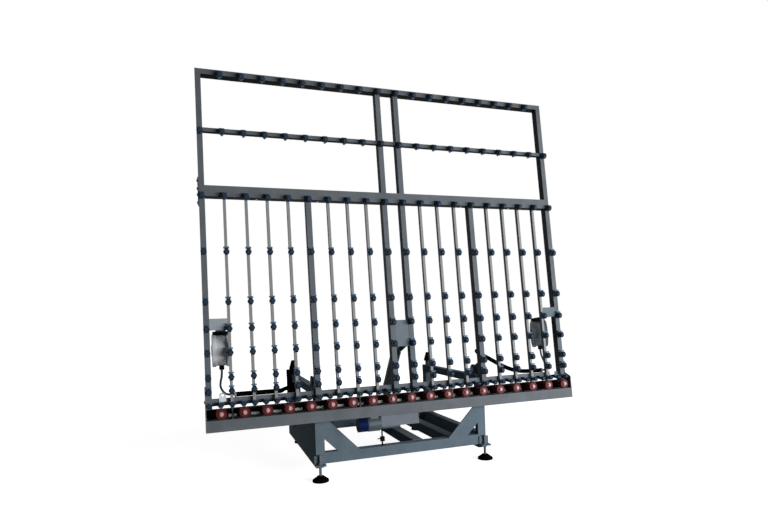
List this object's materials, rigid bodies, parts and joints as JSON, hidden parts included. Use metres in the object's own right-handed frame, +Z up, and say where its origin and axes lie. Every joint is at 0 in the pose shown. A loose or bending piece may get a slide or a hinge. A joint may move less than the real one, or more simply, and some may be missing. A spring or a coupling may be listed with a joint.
{
  "type": "tilting transport trolley",
  "caption": "Tilting panel trolley: a leaning steel rack with rows of support wheels over a shelf of driven rollers, hinged on a floor-standing base with a tilt cylinder.",
  "frame": {"origin": "on the floor under the middle of the whole trolley", "axes": "+Z up, +X along the roller shelf to the right seen from the front, +Y to the back of the base"},
  "size_m": [2.9148, 1.482, 3.0001],
  "materials": {
    "frame_paint": "grey satin paint",
    "bar_metal": "dull bare metal",
    "base_paint": "darker grey-blue satin paint",
    "bracket_blue": "slate blue",
    "wheel_blue": "dark blue wheel tread",
    "roller_red": "dark red polyurethane tread",
    "zinc": "zinc-plated steel",
    "chain_steel": "oiled steel",
    "motor_silver": "cast aluminium",
    "cap_blue": "blue enamel",
    "cover_grey": "light grey powder coat",
    "reel_grey": "light grey housing",
    "hose_green": "blue-green hose",
    "black_rubber": "black rubber",
    "holder_white": "white plastic",
    "cylinder_dark": "black paint",
    "rod_chrome": "hard chrome",
    "foot_black": "black foot pad and screw"
  },
  "bodies": {
    "base": {"base_frame": "base_paint", "base_plates": "base_paint", "base_lugs": "base_paint", "pins_and_spindles": "zinc", "rubber_stops": "black_rubber", "foot_brackets": "base_paint", "limit_switch": "foot_black", "conduit_left": "black_rubber"},
    "rack": {"rack_posts": "frame_paint", "slat_bars": "bar_metal", "rack_rails": "frame_paint", "axles_and_bolts": "zinc", "rack_plates": "frame_paint", "shelf_beams": "frame_paint", "drive_chain": "chain_steel", "drive_motor": "motor_silver", "motor_cap": "cap_blue", "chain_cover": "cover_grey", "wheel_brackets": "bracket_blue", "hose_reels": "reel_grey", "hose_left": "hose_green", "hose_right": "hose_green", "hose_holders": "holder_white", "conduit_right": "black_rubber"},
    "drive_sprocket": {"drive_sprocket": "chain_steel"},
    "cylinder_barrel": {"cylinder_barrel": "cylinder_dark"},
    "cylinder_rod": {"cylinder_rod": "rod_chrome"},
    "drive_roller_01": {"drive_roller_01": "roller_red"},
    "drive_roller_02": {"drive_roller_02": "roller_red"},
    "drive_roller_03": {"drive_roller_03": "roller_red"},
    "drive_roller_04": {"drive_roller_04": "roller_red"},
    "drive_roller_05": {"drive_roller_05": "roller_red"},
    "drive_roller_06": {"drive_roller_06": "roller_red"},
    "drive_roller_07": {"drive_roller_07": "roller_red"},
    "drive_roller_08": {"drive_roller_08": "roller_red"},
    "drive_roller_09": {"drive_roller_09": "roller_red"},
    "drive_roller_10": {"drive_roller_10": "roller_red"},
    "drive_roller_11": {"drive_roller_11": "roller_red"},
    "drive_roller_12": {"drive_roller_12": "roller_red"},
    "drive_roller_13": {"drive_roller_13": "roller_red"},
    "drive_roller_14": {"drive_roller_14": "roller_red"},
    "drive_roller_15": {"drive_roller_15": "roller_red"},
    "drive_roller_16": {"drive_roller_16": "roller_red"},
    "drive_roller_17": {"drive_roller_17": "roller_red"},
    "drive_roller_18": {"drive_roller_18": "roller_red"},
    "drive_roller_19": {"drive_roller_19": "roller_red"},
    "wheel_row_top": {"wheel_row_top": "wheel_blue"},
    "wheel_row_upper": {"wheel_row_upper": "wheel_blue"},
    "wheel_row_middle": {"wheel_row_middle": "wheel_blue"},
    "wheel_row_1": {"wheel_row_1": "wheel_blue"},
    "wheel_row_2": {"wheel_row_2": "wheel_blue"},
    "wheel_row_3": {"wheel_row_3": "wheel_blue"},
    "wheel_row_4": {"wheel_row_4": "wheel_blue"},
    "wheel_row_5": {"wheel_row_5": "wheel_blue"},
    "wheel_row_6": {"wheel_row_6": "wheel_blue"},
    "wheel_row_bottom": {"wheel_row_bottom": "wheel_blue"},
    "levelling_foot_front_left": {"levelling_foot_front_left": "foot_black"},
    "levelling_foot_front_right": {"levelling_foot_front_right": "foot_black"},
    "levelling_foot_rear_left": {"levelling_foot_rear_left": "foot_black"},
    "levelling_foot_rear_right": {"levelling_foot_rear_right": "foot_black"}
  },
  "joints": [
    {"name": "rack_tilt", "type": "hinge", "parent": "base", "child": "rack", "pos_m": [0, -0.45944, 0.71473], "axis": [-1, 0, 0], "range_deg": [0, 84.5], "deforming": ["conduit_left"]},
    {"name": "cylinder_swing", "type": "hinge", "parent": "rack", "child": "cylinder_barrel", "pos_m": [0, -0.44371, 0.93022], "axis": [1, 0, 0], "range_deg": [0, 78.2]},
    {"name": "cylinder_stroke", "type": "slide", "parent": "cylinder_barrel", "child": "cylinder_rod", "axis": [0, -0.6204, 0.7843], "range_m": [0, 0.28395]},
    {"name": "drive_roller_01_spin", "type": "hinge", "parent": "rack", "child": "drive_roller_01", "pos_m": [-1.35, -0.68348, 0.56853], "axis": [0, -0.9954, 0.0958], "continuous": true},
    {"name": "drive_roller_02_spin", "type": "hinge", "parent": "rack", "child": "drive_roller_02", "pos_m": [-1.2, -0.68348, 0.56853], "axis": [0, -0.9954, 0.0958], "continuous": true},
    {"name": "drive_roller_03_spin", "type": "hinge", "parent": "rack", "child": "drive_roller_03", "pos_m": [-1.05, -0.68348, 0.56853], "axis": [0, -0.9954, 0.0958], "continuous": true},
    {"name": "drive_roller_04_spin", "type": "hinge", "parent": "rack", "child": "drive_roller_04", "pos_m": [-0.9, -0.68348, 0.56853], "axis": [0, -0.9954, 0.0958], "continuous": true},
    {"name": "drive_roller_05_spin", "type": "hinge", "parent": "rack", "child": "drive_roller_05", "pos_m": [-0.75, -0.68348, 0.56853], "axis": [0, -0.9954, 0.0958], "continuous": true},
    {"name": "drive_roller_06_spin", "type": "hinge", "parent": "rack", "child": "drive_roller_06", "pos_m": [-0.6, -0.68348, 0.56853], "axis": [0, -0.9954, 0.0958], "continuous": true},
    {"name": "drive_roller_07_spin", "type": "hinge", "parent": "rack", "child": "drive_roller_07", "pos_m": [-0.45, -0.68348, 0.56853], "axis": [0, -0.9954, 0.0958], "continuous": true},
    {"name": "drive_roller_08_spin", "type": "hinge", "parent": "rack", "child": "drive_roller_08", "pos_m": [-0.3, -0.68348, 0.56853], "axis": [0, -0.9954, 0.0958], "continuous": true},
    {"name": "drive_roller_09_spin", "type": "hinge", "parent": "rack", "child": "drive_roller_09", "pos_m": [-0.15, -0.68348, 0.56853], "axis": [0, -0.9954, 0.0958], "continuous": true},
    {"name": "drive_roller_10_spin", "type": "hinge", "parent": "rack", "child": "drive_roller_10", "pos_m": [0, -0.68348, 0.56853], "axis": [0, -0.9954, 0.0958], "continuous": true},
    {"name": "drive_roller_11_spin", "type": "hinge", "parent": "rack", "child": "drive_roller_11", "pos_m": [0.15, -0.68348, 0.56853], "axis": [0, -0.9954, 0.0958], "continuous": true},
    {"name": "drive_roller_12_spin", "type": "hinge", "parent": "rack", "child": "drive_roller_12", "pos_m": [0.3, -0.68348, 0.56853], "axis": [0, -0.9954, 0.0958], "continuous": true},
    {"name": "drive_roller_13_spin", "type": "hinge", "parent": "rack", "child": "drive_roller_13", "pos_m": [0.45, -0.68348, 0.56853], "axis": [0, -0.9954, 0.0958], "continuous": true},
    {"name": "drive_roller_14_spin", "type": "hinge", "parent": "rack", "child": "drive_roller_14", "pos_m": [0.6, -0.68348, 0.56853], "axis": [0, -0.9954, 0.0958], "continuous": true},
    {"name": "drive_roller_15_spin", "type": "hinge", "parent": "rack", "child": "drive_roller_15", "pos_m": [0.75, -0.68348, 0.56853], "axis": [0, -0.9954, 0.0958], "continuous": true},
    {"name": "drive_roller_16_spin", "type": "hinge", "parent": "rack", "child": "drive_roller_16", "pos_m": [0.9, -0.68348, 0.56853], "axis": [0, -0.9954, 0.0958], "continuous": true},
    {"name": "drive_roller_17_spin", "type": "hinge", "parent": "rack", "child": "drive_roller_17", "pos_m": [1.05, -0.68348, 0.56853], "axis": [0, -0.9954, 0.0958], "continuous": true},
    {"name": "drive_roller_18_spin", "type": "hinge", "parent": "rack", "child": "drive_roller_18", "pos_m": [1.2, -0.68348, 0.56853], "axis": [0, -0.9954, 0.0958], "continuous": true},
    {"name": "drive_roller_19_spin", "type": "hinge", "parent": "rack", "child": "drive_roller_19", "pos_m": [1.35, -0.68348, 0.56853], "axis": [0, -0.9954, 0.0958], "continuous": true},
    {"name": "drive_sprocket_spin", "type": "hinge", "parent": "rack", "child": "drive_sprocket", "pos_m": [0, -0.64754, 0.39931], "axis": [0, -0.9954, 0.0958], "continuous": true},
    {"name": "wheel_row_top_spin", "type": "hinge", "parent": "rack", "child": "wheel_row_top", "pos_m": [0, -0.41714, 2.95901], "axis": [1, 0, 0], "continuous": true},
    {"name": "wheel_row_upper_spin", "type": "hinge", "parent": "rack", "child": "wheel_row_upper", "pos_m": [0, -0.45835, 2.53099], "axis": [1, 0, 0], "continuous": true},
    {"name": "wheel_row_middle_spin", "type": "hinge", "parent": "rack", "child": "wheel_row_middle", "pos_m": [0, -0.50321, 2.06514], "axis": [1, 0, 0], "continuous": true},
    {"name": "wheel_row_1_spin", "type": "hinge", "parent": "rack", "child": "wheel_row_1", "pos_m": [0, -0.54126, 1.66997], "axis": [1, 0, 0], "continuous": true},
    {"name": "wheel_row_2_spin", "type": "hinge", "parent": "rack", "child": "wheel_row_2", "pos_m": [0, -0.57509, 1.3186], "axis": [1, 0, 0], "continuous": true},
    {"name": "wheel_row_3_spin", "type": "hinge", "parent": "rack", "child": "wheel_row_3", "pos_m": [0, -0.59292, 1.13345], "axis": [1, 0, 0], "continuous": true},
    {"name": "wheel_row_4_spin", "type": "hinge", "parent": "rack", "child": "wheel_row_4", "pos_m": [0, -0.60873, 0.96921], "axis": [1, 0, 0], "continuous": true},
    {"name": "wheel_row_5_spin", "type": "hinge", "parent": "rack", "child": "wheel_row_5", "pos_m": [0, -0.62474, 0.80298], "axis": [1, 0, 0], "continuous": true},
    {"name": "wheel_row_6_spin", "type": "hinge", "parent": "rack", "child": "wheel_row_6", "pos_m": [0, -0.63356, 0.71141], "axis": [1, 0, 0], "continuous": true},
    {"name": "wheel_row_bottom_spin", "type": "hinge", "parent": "rack", "child": "wheel_row_bottom", "pos_m": [0, -0.65048, 0.6191], "axis": [1, 0, 0], "continuous": true},
    {"name": "levelling_foot_front_left_height", "type": "slide", "parent": "base", "child": "levelling_foot_front_left", "axis": [0, 0, 1], "range_m": [-0.02, 0.02]},
    {"name": "levelling_foot_front_right_height", "type": "slide", "parent": "base", "child": "levelling_foot_front_right", "axis": [0, 0, 1], "range_m": [-0.02, 0.02]},
    {"name": "levelling_foot_rear_left_height", "type": "slide", "parent": "base", "child": "levelling_foot_rear_left", "axis": [0, 0, 1], "range_m": [-0.02, 0.02]},
    {"name": "levelling_foot_rear_right_height", "type": "slide", "parent": "base", "child": "levelling_foot_rear_right", "axis": [0, 0, 1], "range_m": [-0.02, 0.02]}
  ],
  "couplings": [
    {"joint": "cylinder_swing", "follows": "rack_tilt", "ratio": 0.92542},
    {"joint": "cylinder_stroke", "follows": "rack_tilt", "m_per_rad": 0.19253},
    {"joint": "drive_roller_01_spin", "follows": "drive_roller_10_spin", "ratio": 1},
    {"joint": "drive_roller_02_spin", "follows": "drive_roller_10_spin", "ratio": 1},
    {"joint": "drive_roller_03_spin", "follows": "drive_roller_10_spin", "ratio": 1},
    {"joint": "drive_roller_04_spin", "follows": "drive_roller_10_spin", "ratio": 1},
    {"joint": "drive_roller_05_spin", "follows": "drive_roller_10_spin", "ratio": 1},
    {"joint": "drive_roller_06_spin", "follows": "drive_roller_10_spin", "ratio": 1},
    {"joint": "drive_roller_07_spin", "follows": "drive_roller_10_spin", "ratio": 1},
    {"joint": "drive_roller_08_spin", "follows": "drive_roller_10_spin", "ratio": 1},
    {"joint": "drive_roller_09_spin", "follows": "drive_roller_10_spin", "ratio": 1},
    {"joint": "drive_roller_11_spin", "follows": "drive_roller_10_spin", "ratio": 1},
    {"joint": "drive_roller_12_spin", "follows": "drive_roller_10_spin", "ratio": 1},
    {"joint": "drive_roller_13_spin", "follows": "drive_roller_10_spin", "ratio": 1},
    {"joint": "drive_roller_14_spin", "follows": "drive_roller_10_spin", "ratio": 1},
    {"joint": "drive_roller_15_spin", "follows": "drive_roller_10_spin", "ratio": 1},
    {"joint": "drive_roller_16_spin", "follows": "drive_roller_10_spin", "ratio": 1},
    {"joint": "drive_roller_17_spin", "follows": "drive_roller_10_spin", "ratio": 1},
    {"joint": "drive_roller_18_spin", "follows": "drive_roller_10_spin", "ratio": 1},
    {"joint": "drive_roller_19_spin", "follows": "drive_roller_10_spin", "ratio": 1},
    {"joint": "drive_sprocket_spin", "follows": "drive_roller_10_spin", "ratio": 1}
  ]
}
